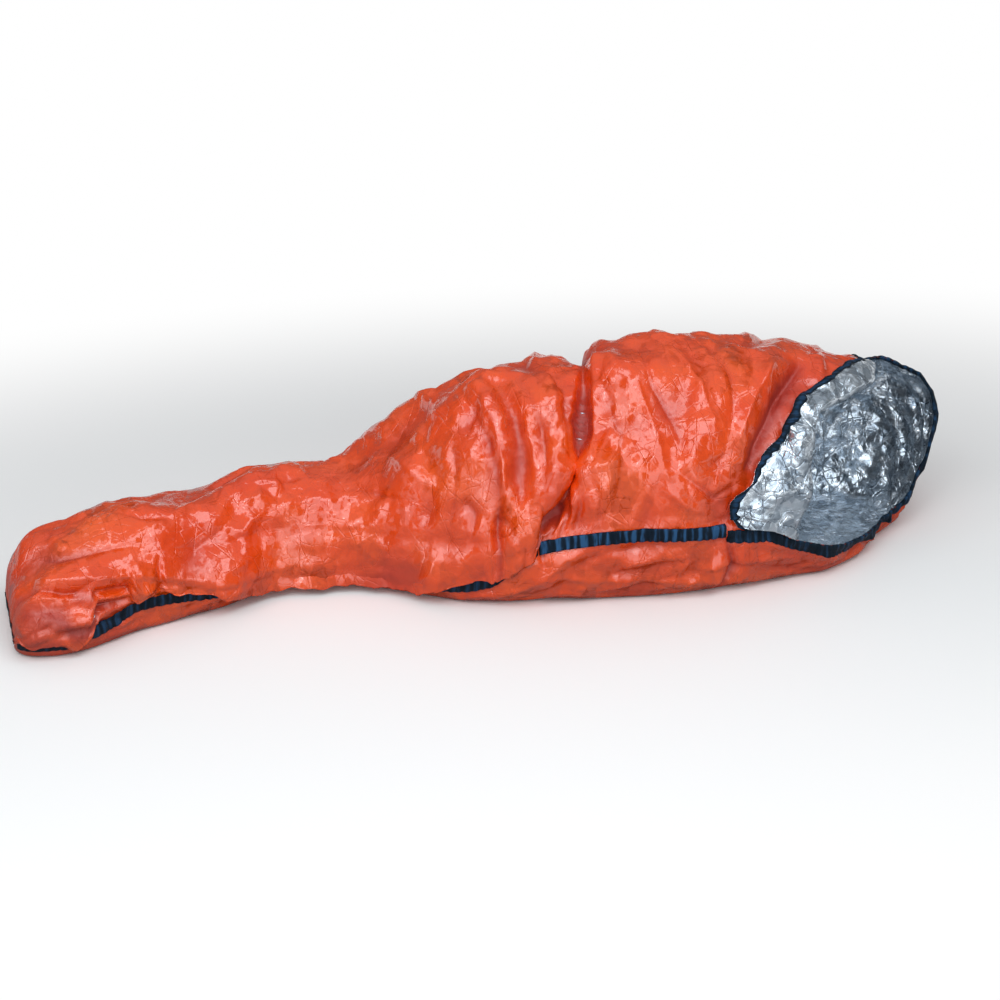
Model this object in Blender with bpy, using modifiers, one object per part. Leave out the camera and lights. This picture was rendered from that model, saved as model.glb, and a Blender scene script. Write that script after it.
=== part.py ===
"""Emergency bivvy bag: an orange film bag lined with silvered film, lying as if filled.

X runs along the bag from the foot seam to the hood, the side closure faces -Y, and Z is up.
The bag rests on the flat underside of its base film at Z = 0. Sizes are in metres.
"""
import math

import bmesh
import bpy
import numpy as np
from mathutils import Matrix, Vector

# Thickness of each layer, and the air between layers that lie on each other
FILM = 0.0010
LINING = 0.0007
TAPE = 0.0011
LAYER_GAP = 0.0004

# Tapes and seams
TAPE_WIDTH = 0.027
SEAM_SLOT = 0.0008
TAPE_END_GAP = 0.0015
FOOT_TAPE_START = 0.15
MERGE = 0.00002
FOOT_SLOT = 0.0040

# Length of the bag and where its parts lie along it
FOOT_X = -0.962
FOOT_ROUND = 0.110
FOOT_SEAM_HEIGHT = 0.026
SEAM_ABOVE_FOOT = 0.008
TAPE_ABOVE_FOOT = 0.006
LEG_END_X = 0.040
CLOSURE_START_X = 0.085
CUFF_START_X = 0.400
HEAD_X = 0.900

# Section of the bag: roundness of its upper side, and the reach of its lower corner
ROUNDNESS = 2.2
FOOT_ROUNDNESS = 2.4
FLOOR_ROUNDNESS = 8.0
PLAN_ROUNDNESS = 4.0
PLAN_NARROWING = 0.9
GATHER_POWER = 3
PARTING_POWER = 2
SECTION_STEPS = 24

# Main folds of the top panel on each side of the ridge: a line of points (x, share of the wall
# from the middle of the floor to the ridge), how far it stands out of the wall, and its half width.
# The first is the waist crease, which slants down towards the legs on the near side.
CREASE_X = 0.236
CREASE_DEPTH = 0.038
CREASE_WIDTH = 0.025
ROLL_HEIGHT = 0.013
ROLL_WIDTH = 0.028
DRAPE_HEIGHT = 0.012
DRAPE_WIDTH = 0.020
FOLD_CLEARANCE = 0.030
NEAR_FOLDS = (
    (((CREASE_X, 1.0), (0.212, 0.88), (0.193, 0.79), (0.167, 0.65), (0.128, 0.54), (0.095, 0.50)),
     -CREASE_DEPTH, CREASE_WIDTH),
    (((0.292, 1.0), (0.266, 0.87), (0.246, 0.75), (0.228, 0.64), (0.200, 0.55)), ROLL_HEIGHT, ROLL_WIDTH),
    (((0.165, 1.0), (0.148, 0.85), (0.134, 0.72), (0.112, 0.60)), ROLL_HEIGHT, ROLL_WIDTH),
    (((0.045, 0.95), (0.060, 0.82), (0.062, 0.70), (0.055, 0.60)), -DRAPE_HEIGHT, DRAPE_WIDTH),
    (((0.005, 0.94), (0.018, 0.80), (0.022, 0.66), (0.026, 0.58)), DRAPE_HEIGHT, DRAPE_WIDTH),
    (((-0.130, 0.86), (-0.112, 0.72), (-0.120, 0.60)), -DRAPE_HEIGHT, DRAPE_WIDTH),
)
FAR_FOLDS = (
    (((CREASE_X, 1.0), (0.250, 0.86), (0.262, 0.74), (0.268, 0.64)), -CREASE_DEPTH, CREASE_WIDTH),
    (((0.292, 1.0), (0.305, 0.86), (0.312, 0.72), (0.310, 0.64)), ROLL_HEIGHT, ROLL_WIDTH),
    (((0.165, 1.0), (0.178, 0.85), (0.190, 0.72)), ROLL_HEIGHT, ROLL_WIDTH),
    (((0.045, 0.95), (0.070, 0.80), (0.066, 0.70)), -DRAPE_HEIGHT, DRAPE_WIDTH),
)

# Stations along the bag: x, ridge y, near reach, far reach, height at the ridge
STATIONS = (
    (-0.965, -0.020, 0.160, 0.140, 0.178),
    (-0.850, -0.005, 0.176, 0.140, 0.200),
    (-0.700, 0.030, 0.148, 0.130, 0.222),
    (-0.550, 0.075, 0.148, 0.125, 0.210),
    (-0.420, 0.105, 0.125, 0.125, 0.232),
    (-0.270, 0.100, 0.138, 0.140, 0.226),
    (-0.150, 0.065, 0.180, 0.165, 0.310),
    (-0.030, 0.020, 0.214, 0.190, 0.415),
    (0.100, 0.000, 0.225, 0.205, 0.452),
    (0.240, -0.005, 0.250, 0.210, 0.468),
    (0.400, -0.005, 0.270, 0.215, 0.476),
    (0.570, -0.005, 0.262, 0.215, 0.460),
    (0.700, 0.000, 0.255, 0.210, 0.430),
    (0.800, 0.000, 0.205, 0.200, 0.400),
    (0.900, 0.000, 0.110, 0.185, 0.366),
)

# Height of the near and far seams above the floor, from foot to head: x, height
NEAR_SEAM = (
    (-0.965, FOOT_SEAM_HEIGHT + SEAM_ABOVE_FOOT),
    (-0.870, FOOT_SEAM_HEIGHT + TAPE_ABOVE_FOOT),
    (-0.800, 0.048),
    (-0.690, 0.070),
    (-0.570, 0.058),
    (-0.450, 0.045),
    (-0.250, 0.040),
    (-0.120, 0.040),
    (-0.010, 0.060),
    (0.060, 0.128),
    (0.140, 0.152),
    (0.280, 0.164),
    (0.490, 0.152),
    (0.550, 0.148),
    (0.630, 0.108),
    (0.720, 0.078),
    (0.800, 0.064),
    (0.900, 0.062),
)
FAR_SEAM = (
    (-0.965, FOOT_SEAM_HEIGHT + SEAM_ABOVE_FOOT),
    (-0.860, 0.060),
    (-0.600, 0.085),
    (-0.300, 0.110),
    (-0.050, 0.190),
    (0.150, 0.245),
    (0.500, 0.270),
    (0.720, 0.300),
    (0.900, 0.335),
)

# Hood round the head end, by the angle turned from the near side: degrees, reach, height, rim height
HOOD = (
    (0, 0.110, 0.366, 0.062),
    (30, 0.096, 0.360, 0.070),
    (60, 0.108, 0.360, 0.110),
    (85, 0.140, 0.362, 0.215),
    (105, 0.164, 0.376, 0.325),
    (140, 0.174, 0.378, 0.348),
    (180, 0.185, 0.366, 0.335),
)
HOOD_STEP = 15
LIP_STEPS = 6

# Height of the widest point of the section, and how far the lower corner is rounded in
NEAR_BULGE = ((-0.965, 0.060), (-0.300, 0.075), (0.000, 0.110), (0.500, 0.125), (0.900, 0.095))
FAR_BULGE = ((-0.965, 0.060), (-0.300, 0.080), (0.000, 0.120), (0.500, 0.140), (0.900, 0.160))
HOOD_BULGE = ((0, 0.095), (45, 0.110), (100, 0.230), (140, 0.210), (180, 0.160))
CORNER_SHARE = 0.50

# Mouth of the top panel: its folded edge, and the free edge of the cuff that is turned back
# from it. Level 0 is the near seam, 1 the ridge and 2 the far seam: level, x
MOUTH_FOLD = ((0.0, 0.635), (0.22, 0.658), (0.45, 0.664), (0.56, 0.690), (0.68, 0.780), (0.82, 0.868),
              (1.0, 0.895), (2.0, 0.890))
CUFF_FREE = ((0.0, 0.470), (0.12, 0.476), (0.20, 0.520), (0.31, 0.552), (0.45, 0.602), (0.63, 0.655),
             (0.72, 0.712), (0.86, 0.790), (1.0, 0.850), (2.0, 0.850))
CUFF_HEM = 0.011
HEM_SHARE = 0.2
BINDING_SHARE = 0.6
FLAP_TOP_LEVEL = 0.50
FLAP_GAP_SHARE = 0.02
HINGE_AHEAD = 0.012

COLLECTION = "emergency_bivvy_bag"

# Colours: linear red, green, blue; roughness; metallic
FINISHES = {
    "orange_film": ((0.83, 0.09, 0.014), 0.30, 0.0),
    "silver_lining": ((0.72, 0.74, 0.77), 0.22, 1.0),
    "black_tape": ((0.012, 0.014, 0.020), 0.45, 0.0),
    "hook_tape": ((0.018, 0.020, 0.026), 0.60, 0.0),
}


def curve_through(points):
    """Smooth curve through (x, value) points, flat beyond its ends."""
    xs = [p[0] for p in points]
    ys = [p[1] for p in points]
    steps = [(ys[i + 1] - ys[i]) / (xs[i + 1] - xs[i]) for i in range(len(xs) - 1)]
    slopes = [steps[0]]
    for before, after in zip(steps, steps[1:]):
        same_way = before * after > 0
        slopes.append(2 * before * after / (before + after) if same_way else 0.0)
    slopes.append(steps[-1])

    def value(x):
        x = min(max(x, xs[0]), xs[-1])
        i = min(max(j for j in range(len(xs)) if xs[j] <= x), len(xs) - 2)
        span = xs[i + 1] - xs[i]
        t = (x - xs[i]) / span
        start = ys[i] * (1 + 2 * t) * (1 - t) ** 2 + slopes[i] * span * t * (1 - t) ** 2
        end = ys[i + 1] * t * t * (3 - 2 * t) + slopes[i + 1] * span * t * t * (t - 1)
        return start + end

    return value


RIDGE_Y = curve_through([(s[0], s[1]) for s in STATIONS])
NEAR_REACH = curve_through([(s[0], s[2]) for s in STATIONS])
FAR_REACH = curve_through([(s[0], s[3]) for s in STATIONS])
HEIGHT = curve_through([(s[0], s[4]) for s in STATIONS])
NEAR_SEAM_HEIGHT = curve_through(NEAR_SEAM)
FAR_SEAM_HEIGHT = curve_through(FAR_SEAM)
NEAR_BULGE_HEIGHT = curve_through(NEAR_BULGE)
FAR_BULGE_HEIGHT = curve_through(FAR_BULGE)
HOOD_REACH = curve_through([(h[0], h[1]) for h in HOOD])
HOOD_HEIGHT = curve_through([(h[0], h[2]) for h in HOOD])
HOOD_RIM = curve_through([(h[0], h[3]) for h in HOOD])
HOOD_BULGE_HEIGHT = curve_through(HOOD_BULGE)
FOLD_X = curve_through(MOUTH_FOLD)
FREE_X = curve_through(CUFF_FREE)


def distance_to_line(x, arc, line):
    """Distance on the wall from a point to a line of points (x, arc)."""
    nearest = math.inf
    for (x0, arc0), (x1, arc1) in zip(line, line[1:]):
        run, climb = x1 - x0, arc1 - arc0
        t = ((x - x0) * run + (arc - arc0) * climb) / (run * run + climb * climb)
        t = min(max(t, 0.0), 1.0)
        nearest = min(nearest, math.hypot(x - x0 - t * run, arc - arc0 - t * climb))
    return nearest


class HalfSection:
    """Half of a section of the bag: from the middle of the floor, up one wall to the ridge."""

    def __init__(self, origin, way, reach, height, bulge, seam_height, folds=()):
        self.origin = origin
        self.way = way
        x = origin[0]
        corner = CORNER_SHARE * bulge
        quarter = np.linspace(0.0, math.pi / 2, SECTION_STEPS)
        low_out = reach - corner + corner * np.sin(quarter)
        low_up = bulge * (1 - np.cos(quarter))
        power = 2 / ROUNDNESS
        high_out = reach * np.cos(quarter[1:]).clip(0) ** power
        high_up = bulge + (height - bulge) * np.sin(quarter[1:]) ** power
        out = np.concatenate(([0.0], low_out, high_out))
        up = np.concatenate(([0.0], low_up, high_up))
        arcs = np.concatenate(([0.0], np.cumsum(np.hypot(np.diff(out), np.diff(up)))))
        first = int(np.argmax(up > seam_height))
        share = (seam_height - up[first - 1]) / (up[first] - up[first - 1])
        self.seam_arc = arcs[first - 1] + share * (arcs[first] - arcs[first - 1])
        self.floor_arc = reach - corner
        self.top_arc = arcs[-1]
        self.arcs = arcs
        self.folds = folds
        self.parting = 0.0
        self.middle_x = None
        self.out, self.up = self.drawn_in_at_foot(x, out, up, reach)

    def drawn_in_at_foot(self, x, out, up, reach):
        """The section near the foot end, where both panels close down to the flat foot seam."""
        near_end = min(max((FOOT_X + FOOT_ROUND - x) / FOOT_ROUND, 0.0), 1.0)
        if near_end == 0:
            return out, up
        rise = (1 - near_end ** FOOT_ROUNDNESS) ** (1 / FOOT_ROUNDNESS)
        floor = (1 - near_end ** FLOOR_ROUNDNESS) ** (1 / FLOOR_ROUNDNESS)
        plan = (1 - (PLAN_NARROWING * near_end) ** PLAN_ROUNDNESS) ** (1 / PLAN_ROUNDNESS)
        above = self.arcs > self.seam_arc
        to_ridge = (self.top_arc - self.arcs) / (self.top_arc - self.seam_arc)
        spread = reach * plan * np.where(above, to_ridge, self.arcs / self.seam_arc)
        gathered = (1 - rise) ** GATHER_POWER
        out = out * plan * (1 - gathered) + spread * gathered
        higher = np.maximum(up - FOOT_SEAM_HEIGHT, 0.0) * rise
        lower = np.minimum(up - FOOT_SEAM_HEIGHT, 0.0) * floor
        self.parting = FOOT_SLOT / 2 * (1 - rise) ** PARTING_POWER
        return out, FOOT_SEAM_HEIGHT + higher + lower

    def fold_height(self, arc):
        """How far the main folds raise the wall at one place; nothing at and below the seam tape."""
        above_tape = arc - self.seam_arc - TAPE_WIDTH / 2
        fade = min(max(above_tape / FOLD_CLEARANCE, 0.0), 1.0)
        if fade == 0:
            return 0.0
        total = 0.0
        for points, height, half_width in self.folds:
            line = [(x, share * self.top_arc) for x, share in points]
            distance = distance_to_line(self.origin[0], arc, line)
            total += height * math.exp(-((distance / half_width) ** 2))
        return total * fade

    def point(self, arc):
        out = float(np.interp(arc, self.arcs, self.out))
        up = float(np.interp(arc, self.arcs, self.up))
        raised = self.fold_height(arc)
        if raised:
            turn_out = np.interp(arc, self.arcs, np.gradient(self.up))
            turn_up = np.interp(arc, self.arcs, -np.gradient(self.out))
            length = math.hypot(turn_out, turn_up)
            out += raised * float(turn_out) / length
            up += raised * float(turn_up) / length
        up += self.parting if arc > self.seam_arc else -self.parting
        x = self.origin[0] + self.way[0] * out
        y = self.origin[1] + self.way[1] * out
        return (x, y, up)

    def top_point(self, level):
        """Point of the top panel: level 0 is the upper edge of the seam tape, 1 is the ridge."""
        edge = self.seam_arc + TAPE_WIDTH / 2
        return self.point(edge + level * (self.top_arc - edge))


def near_section(x):
    return HalfSection(
        (x, RIDGE_Y(x)), (0, -1), NEAR_REACH(x), HEIGHT(x), NEAR_BULGE_HEIGHT(x), NEAR_SEAM_HEIGHT(x),
        NEAR_FOLDS,
    )


def far_section(x):
    return HalfSection(
        (x, RIDGE_Y(x)), (0, 1), FAR_REACH(x), HEIGHT(x), FAR_BULGE_HEIGHT(x), FAR_SEAM_HEIGHT(x),
        FAR_FOLDS,
    )


def hood_section(angle):
    turn = math.radians(angle)
    way = (math.sin(turn), -math.cos(turn))
    bulge = HOOD_BULGE_HEIGHT(angle)
    origin = (HEAD_X, RIDGE_Y(HEAD_X))
    return HalfSection(origin, way, HOOD_REACH(angle), HOOD_HEIGHT(angle), bulge, HOOD_RIM(angle))


# x of the columns that both panels share, from the foot seam to where the cuff starts
FOOT_TURNS = (90, 86, 70, 52, 34, 17, 0)
LEG_COLUMNS = 10
HIP_START_X = -0.170
HIP_COLUMNS = 9
CREASE_COLUMNS = 12
FOOT_COLUMNS = [FOOT_X + FOOT_ROUND * (1 - math.sin(math.radians(turn))) for turn in FOOT_TURNS]
LEGS = list(np.linspace(FOOT_COLUMNS[-1], HIP_START_X, LEG_COLUMNS)[1:])
HIP = list(np.linspace(HIP_START_X, LEG_END_X, HIP_COLUMNS)[1:])
BEFORE_CLOSURE = [(LEG_END_X + CLOSURE_START_X) / 2]
LEFT_OF_CREASE = list(np.linspace(CLOSURE_START_X, CREASE_X, CREASE_COLUMNS))
RIGHT_OF_CREASE = [CREASE_X + step for step in (0.014, 0.028, 0.049, 0.082, 0.124)] + [CUFF_START_X]
BODY = FOOT_COLUMNS + LEGS + HIP + BEFORE_CLOSURE + LEFT_OF_CREASE + RIGHT_OF_CREASE
FOOT_TAPE_COLUMN = 1
LEG_TAPE_COLUMN = 2
CLOSURE_COLUMN = BODY.index(CLOSURE_START_X)
CUFF_FREE_COLUMN = len(BODY) + 1
CUFF_HEM_COLUMN = CUFF_FREE_COLUMN + 1
CUFF_BOUND_COLUMN = CUFF_HEM_COLUMN + 1


def mouth_columns(level):
    """x of the columns across the cuff, at one level of the top panel."""
    free = FREE_X(level)
    fold = FOLD_X(level)
    hem = free + min(CUFF_HEM, HEM_SHARE * (fold - free))
    bound = hem + min(TAPE_WIDTH, BINDING_SHARE * (fold - hem))
    return [(CUFF_START_X + free) / 2, free, hem, bound, (bound + fold) / 2, fold]


# Levels of the top panel's rows on each half
TOP_LEVELS = (0.0, 0.12, 0.25, 0.38, FLAP_TOP_LEVEL, 0.62, 0.74, 0.87)
BASE_SHARES = (0.4, 0.7)


def top_grid():
    """Rows of the top panel from the near seam over the ridge to the far seam."""
    near = [(near_section, level) for level in TOP_LEVELS]
    far = [(far_section, level) for level in reversed(TOP_LEVELS)]
    plan = [(near_section, None)] + near + [(near_section, 1.0)] + far + [(far_section, None)]
    grid = []
    for make, level in plan:
        height_level = level or 0.0
        if make is far_section:
            height_level = 2.0 - height_level
        line = []
        for x in BODY + mouth_columns(height_level):
            section = make(x)
            if level is None:
                line.append(section.point(section.seam_arc + SEAM_SLOT / 2))
            else:
                line.append(section.top_point(level))
        grid.append(line)
    return grid


NEAR_COLUMNS = BODY + mouth_columns(0.0)
FAR_COLUMNS = BODY + mouth_columns(2.0)
LIP_COLUMNS = list(np.linspace(NEAR_COLUMNS[-1], HEAD_X, LIP_STEPS)[1:])
NEAR_PER_MIDDLE = 2
MIDDLE_COLUMNS = list(np.linspace(CUFF_START_X, HEAD_X, len(FAR_COLUMNS) - len(BODY) + 1)[1:])
HOOD_ANGLES = range(HOOD_STEP, 180 + HOOD_STEP, HOOD_STEP)


def base_sections():
    """Half sections round the base panel: near side, hood, then back along the far side."""
    near = [near_section(x) for x in NEAR_COLUMNS + LIP_COLUMNS]
    hood = [hood_section(angle) for angle in HOOD_ANGLES]
    far = [far_section(x) for x in reversed(FAR_COLUMNS)]
    for step, section in enumerate(near[len(BODY):]):
        section.middle_x = MIDDLE_COLUMNS[step // NEAR_PER_MIDDLE]
    for section, middle_x in zip(far, reversed(MIDDLE_COLUMNS)):
        section.middle_x = middle_x
    return near, hood, far


def base_grid(sections):
    """Rows of the base panel from the middle of the floor out to the seam or the rim.

    Both halves share the points along the middle, also where their columns differ.
    """
    grid = []
    for section in sections:
        low = section.floor_arc
        wall = section.seam_arc - TAPE_WIDTH - low
        arcs = [0.0, low / 2, low] + [low + share * wall for share in BASE_SHARES]
        arcs += [section.seam_arc - step for step in (TAPE_WIDTH, TAPE_WIDTH / 2, SEAM_SLOT / 2)]
        line = [section.point(arc) for arc in arcs]
        if section.middle_x is not None:
            line[0] = (section.middle_x, RIDGE_Y(section.middle_x), 0.0)
        grid.append(line)
    return grid


def seam_grid(sections):
    """Rows of a tape that lies half on each panel, centred on their seam."""
    steps = (-TAPE_WIDTH / 2, -SEAM_SLOT / 2, SEAM_SLOT / 2, TAPE_WIDTH / 2)
    return [[section.point(section.seam_arc + step) for step in steps] for section in sections]


def rim_grid(sections):
    """Rows of the binding that lies on the outside of the base panel's free rim."""
    steps = (-TAPE_WIDTH, -TAPE_WIDTH / 2, -SEAM_SLOT / 2)
    return [[section.point(section.seam_arc + step) for step in steps] for section in sections]


def material(name):
    """Principled material of one finish, made once."""
    found = bpy.data.materials.get(name)
    if found:
        return found
    colour, roughness, metallic = FINISHES[name]
    made = bpy.data.materials.new(name)
    made.use_nodes = True
    shader = made.node_tree.nodes["Principled BSDF"]
    shader.inputs["Base Color"].default_value = (*colour, 1.0)
    shader.inputs["Roughness"].default_value = roughness
    shader.inputs["Metallic"].default_value = metallic
    made.diffuse_color = (*colour, 1.0)
    return made


def layer(name, finish, grid, lift, thickness, outwards=True):
    """One layer of the bag: the grid raised by lift along its normals, then given its thickness.

    The layer grows away from the inside of the bag, or into it where outwards is false.
    """
    rows = len(grid)
    columns = len(grid[0])
    mesh = bpy.data.meshes.new(name)
    bm = bmesh.new()
    bmesh.ops.create_grid(bm, x_segments=columns - 1, y_segments=rows - 1, size=1.0)
    for vert in bm.verts:
        column = round((vert.co.x + 1) / 2 * (columns - 1))
        row = round((vert.co.y + 1) / 2 * (rows - 1))
        vert.co = grid[row][column]
    bmesh.ops.remove_doubles(bm, verts=bm.verts[:], dist=MERGE)
    bm.normal_update()
    facing = 0.0
    for face in bm.faces:
        middle = face.calc_center_median()
        x = min(max(middle.x, FOOT_X + FOOT_ROUND), HEAD_X)
        inside = Vector((x, RIDGE_Y(x), HEIGHT(x) / 2))
        facing += face.normal.dot(middle - inside) * face.calc_area()
    if facing < 0:
        bmesh.ops.reverse_faces(bm, faces=bm.faces[:])
        bm.normal_update()
    raised = [(vert, vert.co + vert.normal * lift) for vert in bm.verts]
    for vert, place in raised:
        vert.co = place
    bm.to_mesh(mesh)
    bm.free()
    mesh.shade_smooth()
    mesh.materials.append(material(finish))
    made = bpy.data.objects.new(name, mesh)
    bpy.data.collections[COLLECTION].objects.link(made)
    wall = made.modifiers.new("thickness", "SOLIDIFY")
    wall.thickness = thickness
    wall.offset = 1.0 if outwards else -1.0
    return made


def part_of(grid, rows, columns):
    """The block of a grid between two rows and two columns, both included."""
    return [line[columns[0]:columns[1] + 1] for line in grid[rows[0]:rows[1] + 1]]


def bring_to_hinge(made, pivot):
    """Move the origin of a piece to its hinge without moving the piece."""
    made.data.transform(Matrix.Translation(-pivot))
    made.location = pivot


def panels(top, base):
    """Top and base panels, and the silvered lining that is bonded inside each."""
    inside = -(FILM + LAYER_GAP)
    layer("top_film", "orange_film", top, 0.0, FILM, outwards=False)
    layer("base_film", "orange_film", base, 0.0, FILM, outwards=False)
    layer("top_lining", "silver_lining", top, inside, LINING, outwards=False)
    layer("base_lining", "silver_lining", base, inside, LINING, outwards=False)


def side_tapes(near, far):
    """Tapes along both side seams, and the hook and loop tapes that close the near side."""
    first = LAYER_GAP
    second = first + TAPE + LAYER_GAP
    leg_end = near_section(CLOSURE_START_X - TAPE_END_GAP)
    closure_end = near_section(FREE_X(0.0) - TAPE_END_GAP)
    leg = near[LEG_TAPE_COLUMN:CLOSURE_COLUMN] + [leg_end]
    closed = near[CLOSURE_COLUMN:CUFF_FREE_COLUMN] + [closure_end]
    layer("near_leg_tape", "black_tape", seam_grid(leg), first, TAPE)
    layer("closure_loop_tape", "black_tape", seam_grid(closed), first, TAPE)
    layer("closure_hook_tape", "hook_tape", seam_grid(closed), second, TAPE)
    layer("far_side_tape", "black_tape", seam_grid(far[1:-LEG_TAPE_COLUMN]), first, TAPE)


def end_tapes(top, near, hood):
    """Tape across the foot seam, and the binding round the lip and the hood."""
    across = part_of(top, (1, len(top) - 2), (0, FOOT_TAPE_COLUMN))
    for line in across:
        line[0] = Vector(line[0]).lerp(Vector(line[1]), FOOT_TAPE_START)
    layer("foot_seam_tape", "black_tape", across, LAYER_GAP, TAPE)
    rim = [near_section(FREE_X(0.0) + TAPE_END_GAP)] + near[CUFF_HEM_COLUMN:] + hood
    layer("lip_binding", "black_tape", rim_grid(rim), LAYER_GAP, TAPE)


def turned_back(kind, top, rows):
    """Film, lining and binding of one stretch of the cuff, which lie on the top panel one on another."""
    columns = (CUFF_FREE_COLUMN, len(top[0]) - 1)
    film_lift = LAYER_GAP
    lining_lift = film_lift + FILM + LAYER_GAP
    binding_lift = lining_lift + LINING + LAYER_GAP
    film = part_of(top, rows, columns)
    lined = part_of(top, rows, (CUFF_HEM_COLUMN, columns[1]))
    bound = part_of(top, rows, (CUFF_HEM_COLUMN, CUFF_BOUND_COLUMN))
    return [
        layer(kind + "_film", "orange_film", film, film_lift, FILM),
        layer(kind + "_lining", "silver_lining", lined, lining_lift, LINING),
        layer(kind + "_binding", "black_tape", bound, binding_lift, TAPE),
    ]


def cuff(top):
    """End of the top panel, turned back at the mouth fold, with its lining outwards and its binding.

    Below the flap's top row the fold is nearly straight, and that stretch is the flap, which swings.
    """
    flap_top_row = 1 + TOP_LEVELS.index(FLAP_TOP_LEVEL)
    beyond_ridge_row = len(TOP_LEVELS) + 2
    turned_back("cuff", top, (flap_top_row, beyond_ridge_row))
    lowered = [list(line) for line in top]
    for column, point in enumerate(top[flap_top_row]):
        below = Vector(top[flap_top_row - 1][column])
        lowered[flap_top_row][column] = Vector(point).lerp(below, FLAP_GAP_SHARE)
    low, high = hinge_line(top)
    for piece in turned_back("flap", lowered, (1, flap_top_row)):
        bring_to_hinge(piece, low)
    return low, (high - low).normalized()


def hinge_line(top):
    """Line that the flap swings about: up its fold, and just ahead of it."""
    ahead = Vector((HINGE_AHEAD, 0.0, 0.0))
    flap_top_row = 1 + TOP_LEVELS.index(FLAP_TOP_LEVEL)
    return Vector(top[1][-1]) + ahead, Vector(top[flap_top_row][-1]) + ahead


def build():
    for leftover in list(bpy.data.objects):
        bpy.data.objects.remove(leftover)
    collection = bpy.data.collections.new(COLLECTION)
    bpy.context.scene.collection.children.link(collection)
    top = top_grid()
    near, hood, far = base_sections()
    panels(top, base_grid(near + hood + far))
    side_tapes(near, far)
    end_tapes(top, near, hood)
    low, axis = cuff(top)
    print("flap hinge at", tuple(round(v, 5) for v in low), "along", tuple(round(v, 5) for v in axis))


build()
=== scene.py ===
import math

import bmesh
import bpy
import numpy as np
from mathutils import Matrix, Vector
from mathutils.bvhtree import BVHTree
from mathutils.geometry import delaunay_2d_cdt


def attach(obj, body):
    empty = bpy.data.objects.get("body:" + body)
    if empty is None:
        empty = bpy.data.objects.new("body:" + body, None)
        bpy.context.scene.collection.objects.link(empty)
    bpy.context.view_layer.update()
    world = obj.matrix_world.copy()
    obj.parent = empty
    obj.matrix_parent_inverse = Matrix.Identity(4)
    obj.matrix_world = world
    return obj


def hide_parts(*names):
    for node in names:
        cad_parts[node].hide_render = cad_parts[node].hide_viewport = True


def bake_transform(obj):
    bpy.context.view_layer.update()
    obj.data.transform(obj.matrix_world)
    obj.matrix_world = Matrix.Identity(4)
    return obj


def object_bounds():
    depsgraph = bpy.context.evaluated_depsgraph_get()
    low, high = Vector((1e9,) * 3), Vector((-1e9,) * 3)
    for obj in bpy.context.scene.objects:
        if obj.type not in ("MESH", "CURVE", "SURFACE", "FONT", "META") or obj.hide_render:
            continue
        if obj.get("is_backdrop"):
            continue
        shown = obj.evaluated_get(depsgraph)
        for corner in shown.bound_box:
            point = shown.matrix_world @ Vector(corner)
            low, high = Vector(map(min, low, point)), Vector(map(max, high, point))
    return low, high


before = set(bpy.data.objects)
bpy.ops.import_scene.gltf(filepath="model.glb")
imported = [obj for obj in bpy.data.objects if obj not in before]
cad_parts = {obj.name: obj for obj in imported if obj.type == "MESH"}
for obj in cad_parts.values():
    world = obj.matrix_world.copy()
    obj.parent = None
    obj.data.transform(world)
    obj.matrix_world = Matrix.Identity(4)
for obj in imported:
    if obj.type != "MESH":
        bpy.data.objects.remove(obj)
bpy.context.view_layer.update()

# ---- camera
# A long lens a little left of the bag and well above it, which looks down at its near side.
CAMERA_AT = (-1.0792, -4.0268, 2.104)
LOOKS_AT = Vector((0.0, 0.0, 0.16))
LENS, SENSOR_WIDTH, SHIFT = 79.2, 36.0, 0.03


def put_in_scene(name, data):
    """New object for a camera, a lamp or a mesh, in the scene."""
    made = bpy.data.objects.new(name, data)
    bpy.context.scene.collection.objects.link(made)
    return made


def aimed_at_bag(name, data, place):
    """Camera or lamp at a place, turned to the bag."""
    made = put_in_scene(name, data)
    made.location = place
    made.rotation_mode = "QUATERNION"
    made.rotation_quaternion = (LOOKS_AT - Vector(place)).to_track_quat("-Z", "Y")
    return made


camera = aimed_at_bag("camera", bpy.data.cameras.new("camera"), CAMERA_AT)
camera.data.lens = LENS
camera.data.sensor_width = SENSOR_WIDTH
camera.data.shift_x = SHIFT
bpy.context.scene.camera = camera

# ---- floor and light
# A plain pale floor and soft studio light: a broad key above the camera's left, one high in
# front, lower ones in front and on the left, a small hard one for glints, and a soft sky.
FLOOR_SIZE = 30.0
FLOOR_Z = -0.001


def mesh_object(bm, name):
    """Object with this mesh, in the scene."""
    mesh = bpy.data.meshes.new(name)
    bm.to_mesh(mesh)
    bm.free()
    return put_in_scene(name, mesh)


bm = bmesh.new()
bmesh.ops.create_grid(bm, x_segments=1, y_segments=1, size=FLOOR_SIZE / 2)
bmesh.ops.translate(bm, verts=bm.verts[:], vec=(0, 0, FLOOR_Z))
studio_floor = mesh_object(bm, "studio_floor")


def set_inputs(tree, node, inputs):
    """Sets values on a node's inputs, and links other nodes' sockets to them."""
    for socket, value in inputs.items():
        if isinstance(value, bpy.types.NodeSocket):
            tree.links.new(value, node.inputs[socket])
        else:
            node.inputs[socket].default_value = value


def new_node(tree, kind, inputs=None, **settings):
    """Shader node with these settings and inputs."""
    node = tree.nodes.new("ShaderNode" + kind)
    for name, value in settings.items():
        setattr(node, name, value)
    set_inputs(tree, node, inputs or {})
    return node


def maths(tree, operation, *values):
    """Result of a math node on numbers or sockets."""
    return new_node(tree, "Math", dict(enumerate(values)), operation=operation).outputs[0]


def vectors(tree, operation, *values):
    """Result of a vector math node on vectors or sockets."""
    return new_node(tree, "VectorMath", dict(enumerate(values)), operation=operation).outputs[0]


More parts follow.
